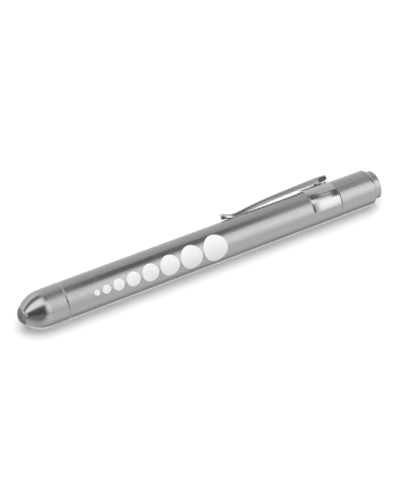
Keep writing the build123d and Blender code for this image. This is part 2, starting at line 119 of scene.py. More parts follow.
# %% Helpers for modelling
def start_clean():
    if bpy.context.object and bpy.context.object.mode == "EDIT":
        bpy.ops.object.mode_set(mode="OBJECT")
    bpy.ops.object.select_all(action="DESELECT")


def make_active(obj):
    start_clean()
    obj.select_set(True)
    bpy.context.view_layer.objects.active = obj


def edit(obj, kind="VERT"):
    make_active(obj)
    bpy.ops.object.mode_set(mode="EDIT")
    bpy.ops.mesh.select_mode(type=kind)
    bpy.ops.mesh.select_all(action="DESELECT")


def pick(obj, kind, test):
    """Select the points or faces in edit mode whose place passes a test."""
    mesh = bmesh.from_edit_mesh(obj.data)
    for item in mesh.verts if kind == "VERT" else mesh.faces:
        if test(item.co if kind == "VERT" else item.calc_center_median()):
            item.select_set(True)
    mesh.select_flush_mode()
    bmesh.update_edit_mesh(obj.data)


def pick_all():
    bpy.ops.mesh.select_all(action="SELECT")


def pick_none():
    bpy.ops.mesh.select_all(action="DESELECT")


def stretch_picked(x, y, z, centre):
    bpy.ops.transform.resize(value=(x, y, z), center_override=centre)


def done_editing():
    bpy.ops.object.mode_set(mode="OBJECT")


def apply_place(obj):
    make_active(obj)
    bpy.ops.object.transform_apply(location=True, rotation=True, scale=True)


def add_modifier(obj, kind, **values):
    """Add a modifier, set it, and apply it at once."""
    make_active(obj)
    modifier = obj.modifiers.new(kind.title(), kind)
    for name, value in values.items():
        setattr(modifier, name, value)
    bpy.ops.object.modifier_apply(modifier=modifier.name)


def finish_piece(obj, name, body, material, smooth):
    """Give a piece its name, put its place into its mesh, shade it and let it ride."""
    apply_place(obj)
    obj.name = name
    obj.data.name = name
    bpy.ops.object.mode_set(mode="EDIT")
    pick_all()
    bpy.ops.mesh.normals_make_consistent(inside=False)
    bpy.ops.object.mode_set(mode="OBJECT")
    bpy.ops.object.shade_smooth_by_angle(angle=math.radians(smooth))
    obj.data.materials.clear()
    obj.data.materials.append(material)
    if body:
        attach(obj, body)
    print(name, "faces", len(obj.data.polygons))


# %% [markdown]
# ## Shared surface effects
# Several metals on this torch show the same two marks at different scales: lines left by the
# tool, and faint cloudiness from handling. Each is one node group, built once and placed in
# every material that needs it. A group gives out only values that change over the surface.
# The shaders themselves stay in the materials.

# %% Helpers for nodes
def add_node(tree, kind, **values):
    node = tree.nodes.new(kind)
    for name, value in values.items():
        setattr(node, name, value)
    return node


def link(tree, output, socket):
    tree.links.new(output, socket)


def coordinates(tree, kind="Object"):
    return add_node(tree, "ShaderNodeTexCoord").outputs[kind]


def split_axes(tree, place):
    """The X, Y and Z outputs of a place."""
    node = add_node(tree, "ShaderNodeSeparateXYZ")
    link(tree, place, node.inputs[0])
    return node.outputs


def math_node(tree, operation, first, second=None, third=None):
    """One Math node; each input is a number or an output to link."""
    node = add_node(tree, "ShaderNodeMath", operation=operation)
    for socket, value in zip(node.inputs, (first, second, third)):
        if value is None:
            continue
        if isinstance(value, (int, float)):
            socket.default_value = value
        else:
            link(tree, value, socket)
    return node.outputs[0]


def map_range(tree, value, low, high, to_low, to_high, smooth=False):
    node = add_node(tree, "ShaderNodeMapRange")
    node.interpolation_type = "SMOOTHSTEP" if smooth else "LINEAR"
    link(tree, value, node.inputs["Value"])
    for name, number in (
        ("From Min", low),
        ("From Max", high),
        ("To Min", to_low),
        ("To Max", to_high),
    ):
        if isinstance(number, (int, float)):
            node.inputs[name].default_value = number
        else:
            link(tree, number, node.inputs[name])
    return node.outputs["Result"]


def mix_shader(tree, amount, first, second):
    node = add_node(tree, "ShaderNodeMixShader")
    for socket, output in zip(node.inputs, (amount, first, second)):
        link(tree, output, socket)
    return node.outputs[0]


def start_group(name, inputs, outputs):
    tree = bpy.data.node_groups.new(name, "ShaderNodeTree")
    for label, kind, value in inputs:
        socket = tree.interface.new_socket(label, in_out="INPUT", socket_type=kind)
        socket.default_value = value
    for label, kind in outputs:
        tree.interface.new_socket(label, in_out="OUTPUT", socket_type=kind)
    return tree, add_node(tree, "NodeGroupInput"), add_node(tree, "NodeGroupOutput")


def place_group(tree, group, **values):
    node = add_node(tree, "ShaderNodeGroup", node_tree=group)
    for name, value in values.items():
        node.inputs[name].default_value = value
    return node


# %% [markdown]
# ### Tool lines
# A lathe leaves rings around the axis and a brushing belt leaves streaks along it. Both are
# one noise pattern that is stretched far more one way than the other. Two scales, in cycles
# per metre, say how fine it is along the torch and across it.

# %% Group: tool lines
tool_lines, g_in, g_out = start_group(
    "Tool lines",
    [
        ("Along", "NodeSocketFloat", 60.0),
        ("Across", "NodeSocketFloat", 6000.0),
        ("Spread", "NodeSocketFloat", 0.25),
    ],
    [("Lines", "NodeSocketFloat")],
)
axes = split_axes(tool_lines, coordinates(tool_lines))
stretched = add_node(tool_lines, "ShaderNodeCombineXYZ")
link(
    tool_lines,
    math_node(tool_lines, "MULTIPLY", axes["X"], g_in.outputs["Along"]),
    stretched.inputs["X"],
)
for axis in "YZ":
    link(
        tool_lines,
        math_node(tool_lines, "MULTIPLY", axes[axis], g_in.outputs["Across"]),
        stretched.inputs[axis],
    )
noise = add_node(tool_lines, "ShaderNodeTexNoise")
noise.inputs["Scale"].default_value = 1.0
noise.inputs["Detail"].default_value = 4.0
noise.inputs["Roughness"].default_value = 0.62
link(tool_lines, stretched.outputs[0], noise.inputs["Vector"])
low_end = math_node(tool_lines, "SUBTRACT", 0.5, g_in.outputs["Spread"])
high_end = math_node(tool_lines, "ADD", 0.5, g_in.outputs["Spread"])
link(
    tool_lines,
    map_range(tool_lines, noise.outputs["Fac"], low_end, high_end, 0.0, 1.0),
    g_out.inputs["Lines"],
)

# %% [markdown]
# ### Handling haze
# A metal pen that has been picked up is never equally bright all over. A slow, soft noise
# raises the roughness a little in patches a few millimetres wide.

# %% Group: handling haze
haze, g_in, g_out = start_group(
    "Handling haze",
    [("Size", "NodeSocketFloat", 260.0), ("Amount", "NodeSocketFloat", 0.05)],
    [("Haze", "NodeSocketFloat")],
)
noise = add_node(haze, "ShaderNodeTexNoise")
noise.inputs["Detail"].default_value = 3.0
noise.inputs["Distortion"].default_value = 0.6
link(haze, coordinates(haze), noise.inputs["Vector"])
link(haze, g_in.outputs["Size"], noise.inputs["Scale"])
cloud = map_range(haze, noise.outputs["Fac"], 0.38, 0.66, 0.0, 1.0, smooth=True)
link(haze, math_node(haze, "MULTIPLY", cloud, g_in.outputs["Amount"]), g_out.inputs["Haze"])

# %% [markdown]
# ### Worn edges
# Anodised aluminium wears bright where two turned pieces meet. The place of such an edge is
# known from CAD, so the mask is a narrow, broken band around one value of X.

# %% Group: worn edge
worn_edge, g_in, g_out = start_group(
    "Worn edge",
    [("Place", "NodeSocketFloat", 0.0), ("Width", "NodeSocketFloat", 0.0004)],
    [("Wear", "NodeSocketFloat")],
)
place = coordinates(worn_edge)
axes = split_axes(worn_edge, place)
distance = math_node(
    worn_edge,
    "ABSOLUTE",
    math_node(worn_edge, "SUBTRACT", axes["X"], g_in.outputs["Place"]),
)
near = map_range(worn_edge, distance, 0.0, g_in.outputs["Width"], 1.0, 0.0, smooth=True)
noise = add_node(worn_edge, "ShaderNodeTexNoise")
noise.inputs["Scale"].default_value = 900.0
noise.inputs["Detail"].default_value = 4.0
link(worn_edge, place, noise.inputs["Vector"])
broken = map_range(worn_edge, noise.outputs["Fac"], 0.35, 0.6, 0.25, 1.0)
link(worn_edge, math_node(worn_edge, "MULTIPLY", near, broken), g_out.inputs["Wear"])


# %% [markdown]
# ## Metals
# Every metal starts from the same few nodes: tool lines change its roughness, its colour and
# its bump by a small amount, and haze is added on top. What differs is the colour, how
# polished it is, and which way its lines run, so one function takes those as values.

# %% A function that makes a metal
def colour_mix(tree, amount, first, second):
    node = add_node(tree, "ShaderNodeMix", data_type="RGBA")
    link(tree, amount, node.inputs["Factor"])
    for socket, value in ((node.inputs["A"], first), (node.inputs["B"], second)):
        if isinstance(value, tuple):
            socket.default_value = (*value, 1.0)
        else:
            link(tree, value, socket)
    return next(o for o in node.outputs if o.type == "RGBA")


def new_material(name):
    material = bpy.data.materials.new(name)
    material.use_nodes = True
    return material, material.node_tree, material.node_tree.nodes["Principled BSDF"]


def bump(tree, shader, height, depth):
    """Raise the surface by up to depth, in metres, where height is 1."""
    node = add_node(tree, "ShaderNodeBump")
    node.inputs["Strength"].default_value = 1.0
    node.inputs["Distance"].default_value = depth
    link(tree, height, node.inputs["Height"])
    link(tree, node.outputs["Normal"], shader.inputs["Normal"])


def metal(name, dark, bright, smooth, rough, along, across, depth, haze_amount=0.05, spread=0.25):
    material, tree, shader = new_material(name)
    lines = place_group(tree, tool_lines, Along=along, Across=across, Spread=spread)
    cloud = place_group(tree, haze, Amount=haze_amount)
    value = lines.outputs["Lines"]
    link(tree, colour_mix(tree, value, dark, bright), shader.inputs["Base Color"])
    roughness = math_node(
        tree, "ADD", map_range(tree, value, 0.0, 1.0, rough, smooth), cloud.outputs["Haze"]
    )
    link(tree, roughness, shader.inputs["Roughness"])
    shader.inputs["Metallic"].default_value = 1.0
    bump(tree, shader, value, depth)
    return material


# %% [markdown]
# ### Brushed barrel
# The barrel was brushed along its length and then clear anodised, so its streaks run with X
# and its reflections are soft. Its two ends are worn bright and slightly rough where the head
# and tail meet it.

# %% Barrel finish
SEAM_WEAR, SCUFF = 0.55 * MM, 0.25
WORN_COLOUR = (0.93, 0.93, 0.93)
satin = metal(
    "satin_aluminium",
    dark=(0.60, 0.60, 0.605),
    bright=(0.68, 0.68, 0.685),
    smooth=0.17,
    rough=0.24,
    along=45.0,
    across=5200.0,
    depth=1.2e-6,
)
tree = satin.node_tree
shader = tree.nodes["Principled BSDF"]
base = shader.inputs["Base Color"].links[0].from_socket
roughness = shader.inputs["Roughness"].links[0].from_socket
for seam in (FRONT_SEAM, TAIL_SEAM):
    worn = place_group(tree, worn_edge, Place=seam, Width=SEAM_WEAR)
    base = colour_mix(tree, worn.outputs["Wear"], base, WORN_COLOUR)
    roughness = math_node(tree, "MULTIPLY_ADD", worn.outputs["Wear"], SCUFF, roughness)
link(tree, base, shader.inputs["Base Color"])
link(tree, roughness, shader.inputs["Roughness"])

# %% [markdown]
# ### Turned head
# The head's straight part is as satin as the barrel, but the nose was polished on the lathe.
# The roughness falls over a short length where the polishing cloth stopped, and that place is
# a fixed way in front of the seam. The head's rim at the seam is worn like the barrel's.

# %% Head finish
NOSE_START = FRONT_SEAM - 6.2 * MM
POLISH_BLEND = 0.7 * MM
head_metal, tree, shader = new_material("polished_aluminium")
axes = split_axes(tree, coordinates(tree))
polished = map_range(
    tree,
    axes["X"],
    NOSE_START - POLISH_BLEND,
    NOSE_START + POLISH_BLEND,
    1.0,
    0.0,
    smooth=True,
)
rings = place_group(tree, tool_lines, Along=9000.0, Across=120.0, Spread=0.3)
streaks = place_group(tree, tool_lines, Along=45.0, Across=5200.0, Spread=0.25)
cloud = place_group(tree, haze, Amount=0.04)
satin_rough = map_range(tree, streaks.outputs["Lines"], 0.0, 1.0, 0.30, 0.22)
nose_rough = map_range(tree, rings.outputs["Lines"], 0.0, 1.0, 0.12, 0.07)
roughness = map_range(tree, polished, 0.0, 1.0, satin_rough, nose_rough)
roughness = math_node(tree, "ADD", roughness, cloud.outputs["Haze"])
worn = place_group(tree, worn_edge, Place=FRONT_SEAM, Width=SEAM_WEAR)
scuffed = math_node(tree, "MULTIPLY_ADD", worn.outputs["Wear"], SCUFF, roughness)
link(tree, scuffed, shader.inputs["Roughness"])
satin_colour = colour_mix(tree, streaks.outputs["Lines"], (0.61, 0.61, 0.615), (0.69, 0.69, 0.695))
nose_colour = colour_mix(tree, rings.outputs["Lines"], (0.66, 0.66, 0.665), (0.72, 0.72, 0.725))
base = colour_mix(tree, polished, satin_colour, nose_colour)
base = colour_mix(tree, worn.outputs["Wear"], base, WORN_COLOUR)
link(tree, base, shader.inputs["Base Color"])
shader.inputs["Metallic"].default_value = 1.0
bump(tree, shader, rings.outputs["Lines"], 0.6e-6)

# %% [markdown]
# ### Turned tail and button
# Here the lathe's rings were left visible. They run around the axis, so the pattern is fine
# along X and slow across it.

# %% Tail finish
turned = metal(
    "turned_aluminium",
    dark=(0.58, 0.58, 0.585),
    bright=(0.72, 0.72, 0.725),
    smooth=0.11,
    rough=0.19,
    along=7000.0,
    across=90.0,
    depth=1.0e-6,
)

# %% [markdown]
# ### Chromed clip
# Chrome plate copies the surface under it, and here that was polished sheet. It is the
# brightest and sharpest metal on the torch, with only hairline rub marks along the clip.

# %% Clip finish
chrome = metal(
    "chrome_clip",
    dark=(0.86, 0.865, 0.87),
    bright=(0.93, 0.93, 0.935),
    smooth=0.05,
    rough=0.13,
    along=120.0,
    across=2600.0,
    depth=0.5e-6,
    haze_amount=0.03,
    spread=0.2,
)

# %% [markdown]
# ### Metals inside
# Brass contacts are turned and slightly tarnished, the springs are drawn music wire, the
# lamp's wires are tinned, and the cell cans are nickel-plated steel.

# %% Inner metals
brass = metal(
    "brass_contact",
    dark=(0.58, 0.40, 0.15),
    bright=(0.86, 0.66, 0.32),
    smooth=0.18,
    rough=0.38,
    along=6000.0,
    across=200.0,
    depth=1.5e-6,
    haze_amount=0.12,
)
spring_steel = metal(
    "spring_steel",
    dark=(0.40, 0.41, 0.42),
    bright=(0.58, 0.58, 0.59),
    smooth=0.2,
    rough=0.34,
    along=2500.0,
    across=2500.0,
    depth=1.0e-6,
)
tinned = metal(
    "tinned_wire",
    dark=(0.68, 0.69, 0.70),
    bright=(0.84, 0.84, 0.85),
    smooth=0.22,
    rough=0.36,
    along=1500.0,
    across=3000.0,
    depth=1.0e-6,
)
cell_steel = metal(
    "cell_steel",
    dark=(0.55, 0.55, 0.54),
    bright=(0.70, 0.70, 0.69),
    smooth=0.2,
    rough=0.34,
    along=80.0,
    across=3500.0,
    depth=1.0e-6,
)
mirror = metal(
    "mirror_cone",
    dark=(0.90, 0.90, 0.91),
    bright=(0.95, 0.95, 0.955),
    smooth=0.03,
    rough=0.09,
    along=5000.0,
    across=100.0,
    depth=0.3e-6,
    haze_amount=0.02,
)


# %% [markdown]
# ## Plastics, print and glass
# Moulded plastic has a fine grain and no lines. Its function mixes two close tones with a
# small noise and gives the same noise to the bump.

# %% A function that makes a plastic
def plastic(name, dark, bright, smooth, rough, size, depth, haze_amount=0.06):
    material, tree, shader = new_material(name)
    noise = add_node(tree, "ShaderNodeTexNoise")
    noise.inputs["Scale"].default_value = size
    noise.inputs["Detail"].default_value = 5.0
    link(tree, coordinates(tree), noise.inputs["Vector"])
    grain = map_range(tree, noise.outputs["Fac"], 0.3, 0.7, 0.0, 1.0)
    link(tree, colour_mix(tree, grain, dark, bright), shader.inputs["Base Color"])
    cloud = place_group(tree, haze, Amount=haze_amount)
    roughness = math_node(
        tree, "ADD", map_range(tree, grain, 0.0, 1.0, rough, smooth), cloud.outputs["Haze"]
    )
    link(tree, roughness, shader.inputs["Roughness"])
    bump(tree, shader, grain, depth)
    return material


black_plastic = plastic(
    "black_insulator", (0.018, 0.018, 0.02), (0.035, 0.035, 0.037), 0.38, 0.5, 9000.0, 3e-6
)
white_plastic = plastic(
    "white_switch_plastic", (0.70, 0.70, 0.68), (0.80, 0.80, 0.78), 0.35, 0.48, 7000.0, 3e-6
)
seal_plastic = plastic("cell_seal", (0.02, 0.05, 0.09), (0.03, 0.07, 0.12), 0.4, 0.55, 8000.0, 2e-6)
cell_mix = plastic("cell_mix", (0.02, 0.02, 0.02), (0.09, 0.085, 0.08), 0.75, 0.95, 5000.0, 2e-5)
gauge_print = plastic(
    "gauge_print", (0.68, 0.68, 0.675), (0.74, 0.74, 0.735), 0.42, 0.56, 6000.0, 1.5e-6
)

# %% [markdown]
# ### Cell jackets
# Each cell wears a shrunk plastic sleeve printed in two plain colours, with a thin line
# between them. The print repeats from one cell to the next, so X is folded by the length of
# one cell.

# %% Cell jacket print
COPPER_SHARE = 0.30  # of one cell's length, from its positive end
LINE_SHARE = 0.015
FOLD_SHIFT = 1e-5  # keeps the first cell's end face off the fold
CELL_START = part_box("front_cell_cap")[0].x
CELL_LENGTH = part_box("rear_cell_cap")[0].x - CELL_START
jacket, tree, shader = new_material("cell_jacket")
axes = split_axes(tree, coordinates(tree))
from_start = math_node(tree, "SUBTRACT", axes["X"], CELL_START)
shifted = math_node(tree, "ADD", from_start, FOLD_SHIFT)
share = math_node(tree, "FRACT", math_node(tree, "DIVIDE", shifted, CELL_LENGTH))
print_ramp = add_node(tree, "ShaderNodeValToRGB")
print_ramp.color_ramp.interpolation = "CONSTANT"
stops = print_ramp.color_ramp.elements
stops[0].position, stops[0].color = 0.0, (0.50, 0.26, 0.10, 1.0)
stops[1].position, stops[1].color = COPPER_SHARE, (0.72, 0.72, 0.70, 1.0)
dark_stop = stops.new(COPPER_SHARE + LINE_SHARE)
dark_stop.color = (0.035, 0.037, 0.042, 1.0)
link(tree, share, print_ramp.inputs["Fac"])
speckle = place_group(tree, tool_lines, Along=3000.0, Across=3000.0, Spread=0.3)
mixed = add_node(tree, "ShaderNodeMix", data_type="RGBA", blend_type="MULTIPLY")
mixed.inputs["Factor"].default_value = 0.25
link(tree, print_ramp.outputs["Color"], mixed.inputs["A"])
link(tree, speckle.outputs["Lines"], mixed.inputs["B"])
link(tree, next(o for o in mixed.outputs if o.type == "RGBA"), shader.inputs["Base Color"])
cloud = place_group(tree, haze, Amount=0.08)
link(tree, math_node(tree, "ADD", 0.26, cloud.outputs["Haze"]), shader.inputs["Roughness"])
bump(tree, shader, speckle.outputs["Lines"], 2e-6)

# %% [markdown]
# ### Circuit board
# The small board behind the lamp has green solder mask, and a bare tinned ring around each
# lead. The rings are found by the distance from each lead's centre line.

# %% Circuit board finish
LEAD_HALF = 0.25 * MM
PAD_INNER, PAD_OUTER = 0.66 * MM, 0.72 * MM
lead_low, lead_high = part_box("led_leads")
LEAD_OFFSET = (lead_high.y - lead_low.y) / 2 - LEAD_HALF
board, tree, shader = new_material("circuit_board")
axes = split_axes(tree, coordinates(tree))
side = math_node(tree, "SUBTRACT", math_node(tree, "ABSOLUTE", axes["Y"]), LEAD_OFFSET)
radius = math_node(
    tree,
    "SQRT",
    math_node(
        tree,
        "ADD",
        math_node(tree, "MULTIPLY", side, side),
        math_node(tree, "MULTIPLY", axes["Z"], axes["Z"]),
    ),
)
pad = map_range(tree, radius, PAD_INNER, PAD_OUTER, 1.0, 0.0)
weave = place_group(tree, tool_lines, Along=2000.0, Across=5000.0, Spread=0.3)
mask_colour = colour_mix(tree, weave.outputs["Lines"], (0.008, 0.085, 0.03), (0.015, 0.15, 0.055))
link(tree, colour_mix(tree, pad, mask_colour, (0.74, 0.74, 0.72)), shader.inputs["Base Color"])
link(tree, pad, shader.inputs["Metallic"])
link(tree, map_range(tree, pad, 0.0, 1.0, 0.32, 0.24), shader.inputs["Roughness"])
bump(tree, shader, pad, 2e-5)

# %% [markdown]
# ### Glass and epoxy
# The lens is moulded glass and the lamp's body is clear epoxy, which is a little softer and
# bends light slightly more. The lens lets through a little less light than it meets, because
# its ground edge scatters some. A trace of haze on the roughness keeps both from looking
# computed.

# %% Clear materials
def clear(name, tint, ior, roughness, haze_amount, clearness):
    material, tree, shader = new_material(name)
    shader.inputs["Transmission Weight"].default_value = clearness
    shader.inputs["IOR"].default_value = ior
    shader.inputs["Base Color"].default_value = (*tint, 1.0)
    cloud = place_group(tree, haze, Size=900.0, Amount=haze_amount)
    link(tree, math_node(tree, "ADD", roughness, cloud.outputs["Haze"]), shader.inputs["Roughness"])
    return material


glass = clear("lens_glass", (0.90, 0.91, 0.905), 1.52, 0.0, 0.02, 0.87)
epoxy = clear("led_epoxy", (0.96, 0.97, 0.99), 1.54, 0.01, 0.03, 1.0)

# %% [markdown]
# ## Finishes on the CAD pieces
# A CAD piece keeps its mesh, and only its material slot is filled. The table names each
# finish once, with the pieces that have it.

# %% Assign finishes
finishes = {
    satin: ["barrel"],
    head_metal: ["head_cap"],
    turned: ["tail_sleeve", "tail_bushing", "push_button", "lens_retaining_ring"],
    chrome: ["clip_band", "clip_arm"],
    glass: ["front_lens"],
    epoxy: ["led_body"],
    mirror: ["reflector"],
    brass: ["lamp_holder", "lamp_contact", "contact_cup", "switch_terminal", "switch_bridge"],
    tinned: ["led_leads"],
    spring_steel: ["contact_spring", "return_spring"],
    board: ["lamp_board"],
    black_plastic: ["lamp_insulator"],
    white_plastic: ["switch_body", "switch_stem"],
    cell_steel: ["front_cell_can", "front_cell_cap", "rear_cell_can", "rear_cell_cap"],
    cell_mix: ["front_cell_core", "rear_cell_core"],
    seal_plastic: ["front_cell_seal", "rear_cell_seal"],
    jacket: ["front_cell_jacket", "rear_cell_jacket"],
}
for material, names in finishes.items():
    for name in names:
        nodes[name].data.materials.clear()
        nodes[name].data.materials.append(material)
covered = {name for names in finishes.values() for name in names}
print("CAD pieces without a finish:", sorted(set(nodes) - covered))

# %% [markdown]
# ## Pupil gauge
# Eight round spots from 2 to 9 mm are screen printed on the barrel, for judging the size of
# a pupil. A print is a very thin layer that follows the tube, so one flat disc with rings of
# points is drawn, copied, wrapped onto a smooth former of the barrel's radius, and thickened
# by two hundredths of a millimetre. Wrapping keeps the outline a true circle from outside.

# %% One flat disc
start_clean()
bpy.ops.mesh.primitive_circle_add(vertices=72, radius=1.0, fill_type="NOTHING")
disc = bpy.context.object
edit(disc)
pick_all()
RINGS = 7
for ring in range(1, RINGS):
    bpy.ops.mesh.extrude_edges_move()
    shrink = (RINGS - ring) / (RINGS - ring + 1)
    stretch_picked(shrink, shrink, 1.0, (0, 0, 0))
bpy.ops.mesh.extrude_edges_move()
bpy.ops.mesh.merge(type="CENTER")
done_editing()
print("disc faces", len(disc.data.polygons))

# %% The eight spots
PRINT_ANGLE = math.radians(145.4)  # around the barrel, from +Y towards +Z
PRINT_GAP = 0.012 * MM
PRINT_THICKNESS = 0.02 * MM
PRINT_START = 2 * MM  # height above the barrel from which a disc is projected
FIRST_SPOT = FRONT_SEAM + 10.3 * MM
SPOT_GAP, GAP_SHRINK = 1.0, 0.055  # mm between spots, and how much each next gap is less
outward = Vector((0, math.cos(PRINT_ANGLE), math.sin(PRINT_ANGLE)))
start_clean()
bpy.ops.mesh.primitive_cylinder_add(
    vertices=256,
    radius=BODY_R + PRINT_GAP,
    depth=TAIL_SEAM - FRONT_SEAM,
    location=((FRONT_SEAM + TAIL_SEAM) / 2, 0, 0),
    rotation=(0, math.pi / 2, 0),
)
former = bpy.context.object
spot_x = FIRST_SPOT
for step, size in enumerate(range(2, 10)):
    radius = size / 2 * MM
    if step:
        spot_x += radius + (size - 1) / 2 * MM + (SPOT_GAP - GAP_SHRINK * (step - 1)) * MM
    spot = disc.copy()
    spot.data = disc.data.copy()
    bpy.context.collection.objects.link(spot)
    spot.scale = (radius, radius, radius)
    spot.rotation_mode = "QUATERNION"
    spot.rotation_quaternion = outward.to_track_quat("Z", "Y")
    spot.location = Vector((spot_x, 0, 0)) + outward * (BODY_R + PRINT_START)
    bpy.context.view_layer.update()
    add_modifier(
        spot,
        "SHRINKWRAP",
        wrap_method="PROJECT",
        target=former,
        use_project_z=True,
        use_negative_direction=True,
        use_positive_direction=False,
    )
    apply_place(spot)
    edit(spot)
    pick_all()
    bpy.ops.mesh.normals_make_consistent(inside=False)
    done_editing()
    facing = spot.data.polygons[0].normal.dot(outward)
    thick_side = 1.0 if facing > 0 else -1.0
    add_modifier(spot, "SOLIDIFY", thickness=PRINT_THICKNESS, offset=thick_side)
    finish_piece(spot, f"pupil_spot_{size}mm", "barrel", gauge_print, 40)
bpy.data.objects.remove(former)
bpy.data.objects.remove(disc)

# %% [markdown]
# ## Thread ridges
# The necks of the head and of the tail bushing are plain in CAD. The real ones carry a
# right-hand thread with a 0.75 mm lead, which shows when an end is unscrewed. The ridge is a
# small trapezium swept by the Screw modifier. Its two ends are pressed down towards the root,
# as a cutter leaves them where the thread runs out.

# %% One thread
THREAD_LEAD = 0.75 * MM
NECK_R = 5.45 * MM
RIDGE_FOOT, RIDGE_HEIGHT = 0.52 * MM, 0.25 * MM
RIDGE_SUNK = 0.1 * MM  # how far the ridge's middle is above the neck
CREST_SHARE = 0.35  # width of the crest, of the width of the foot
STEPS = 56
PRESSES, PRESS = 4, 0.993  # presses at each end, and the share of its radius each one leaves
RUN_IN, RUN_OUT = 0.5 * MM, 0.35 * MM  # plain neck at the shoulder and at the free end


def thread(name, body, first, last):
    """A ridge on a neck from x = first to x = last."""
    start_clean()
    bpy.ops.mesh.primitive_plane_add(size=1.0, rotation=(math.pi / 2, 0, 0))
    ridge = bpy.context.object
    ridge.scale = (RIDGE_FOOT, RIDGE_HEIGHT, 1.0)
    ridge.location = (first, 0, NECK_R + RIDGE_SUNK)
    apply_place(ridge)
    edit(ridge)
    pick(ridge, "VERT", lambda p: p.z > NECK_R + RIDGE_SUNK)
    stretch_picked(CREST_SHARE, 1, 1, (first, 0, NECK_R))
    pick_all()
    bpy.ops.mesh.delete(type="ONLY_FACE")
    done_editing()
    turns = int((last - first) / THREAD_LEAD)
    add_modifier(
        ridge,
        "SCREW",
        axis="X",
        screw_offset=THREAD_LEAD,
        iterations=turns,
        steps=STEPS,
        render_steps=STEPS,
        use_normal_calculate=True,
    )
    edit(ridge)
    bpy.ops.mesh.select_non_manifold()
    bpy.ops.mesh.fill_holes(sides=0)
    for end, side in ((first, 1), (first + turns * THREAD_LEAD, -1)):
        for step in range(PRESSES):  # each press takes a shorter piece of the ridge's end
            pick_none()
            reach = (0.30 - 0.05 * step) * MM
            pick(ridge, "VERT", lambda p: abs(p.x - end) < reach and p.yz.length > NECK_R)
            stretch_picked(1, PRESS, PRESS, (end, 0, 0))
    done_editing()
    finish_piece(ridge, name, body, turned, 25)


head_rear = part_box("head_cap")[1].x
bushing_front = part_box("tail_bushing")[0].x
thread("head_thread", "head", FRONT_SEAM + RUN_IN, head_rear - RUN_OUT)
thread("tail_thread", "tail", bushing_front + RUN_OUT, TAIL_SEAM - RUN_IN)

# %% [markdown]
# ## Springs
# A compression spring is wound from round wire and its last turn at each end lies closed.
# One point is swept into a helix by the Screw modifier, the end turns are squeezed together
# with a resize along X, and the line is then made a curve with a round bevel, so that the
# wire stays round even where the turns are closed.

# %% One spring
CLOSED_TURN = 2.1  # length of a closed turn, in radii of the wire; 2 would touch


def spring(name, old, coil_radius, wire, turns, material):
    low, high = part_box(old)
    length = high.x - low.x - 2 * wire
    start_clean()
    bpy.ops.mesh.primitive_circle_add(vertices=3, radius=1 * MM)
    coil = bpy.context.object
    edit(coil)
    pick_all()
    bpy.ops.mesh.merge(type="CENTER")
    pick_all()
    bpy.ops.transform.translate(value=(0, 0, coil_radius))
    done_editing()
    add_modifier(
        coil,
        "SCREW",
        axis="X",
        screw_offset=length / turns,
        iterations=turns,
        steps=32,
        render_steps=32,
    )
    pitch = length / turns
    closed = CLOSED_TURN * wire
    squeeze = closed / pitch
    open_length = length - 2 * closed
    stretch = open_length / (length - 2 * pitch)
    edit(coil)
    # the factors keep a point that lies on the joint of two turns on one side
    pick(coil, "VERT", lambda p: p.x < pitch * 1.0001)
    stretch_picked(squeeze, 1, 1, (0, 0, 0))
    pick_none()
    pick(coil, "VERT", lambda p: p.x > length - pitch * 1.0001)
    stretch_picked(squeeze, 1, 1, (length, 0, 0))
    pick_none()
    pick(coil, "VERT", lambda p: pitch * 1.001 < p.x < length - pitch * 1.001)
    stretch_picked(stretch, 1, 1, (length / 2, 0, 0))
    done_editing()
    bpy.ops.object.convert(target="CURVE")
    coil = bpy.context.object
    coil.data.bevel_depth = wire
    coil.data.bevel_resolution = 3
    coil.data.use_fill_caps = True
    bpy.ops.object.convert(target="MESH")
    coil = bpy.context.object
    coil.location = (low.x + wire, 0, 0)
    finish_piece(coil, name, None, material, 60)
    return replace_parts(coil, old)


battery_spring = spring("battery_spring", "contact_spring", 2.7 * MM, 0.3 * MM, 4, spring_steel)
low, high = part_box("contact_spring")
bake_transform(battery_spring)
button_spring = spring("button_spring", "return_spring", 2.9 * MM, 0.22 * MM, 7, spring_steel)
low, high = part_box("return_spring")
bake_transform(button_spring)

# %% [markdown]
# ## The clip's band
# The band is pressed from sheet, and pressing and barrel polishing round every edge. Those
# thin bright edges are most of what the eye reads as chrome. A copy of the CAD mesh is
# merged, its flat areas are joined, and the Bevel modifier rounds what is sharp.

# %% Round the band's edges
BAND_EDGE_R = 0.10 * MM
start_clean()
band = nodes["clip_band"].copy()
band.data = nodes["clip_band"].data.copy()
for key in list(band.keys()):
    del band[key]
band.parent = None
band.matrix_world = Matrix.Identity(4)
bpy.context.collection.objects.link(band)
edit(band)
pick_all()
bpy.ops.mesh.remove_doubles(threshold=0.001 * MM)
bpy.ops.mesh.dissolve_limited(angle_limit=math.radians(0.6))
done_editing()
add_modifier(
    band,
    "BEVEL",
    width=BAND_EDGE_R,
    segments=2,
    limit_method="ANGLE",
    angle_limit=math.radians(28),
)
finish_piece(band, "clip_grip_band", "barrel", chrome, 40)
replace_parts(band, "clip_band")

# %% [markdown]
# ## The clip's arm
# The arm is a trough of thin sheet. Its back is crowned, its sides lean in, its rear end is
# drawn together and closed, and its front end bears on the barrel and turns up as a pinched
# lip. It is lofted by hand: half a circle of edges is extruded from station to station, and
# each time it is moved and resized to that station's height and width. Subdivision Surface
# makes it one smooth sweep, Solidify gives the sheet its thickness, and Bevel breaks the
# edges. The arm leans away from +Z, so its outward direction is taken from its own joint.

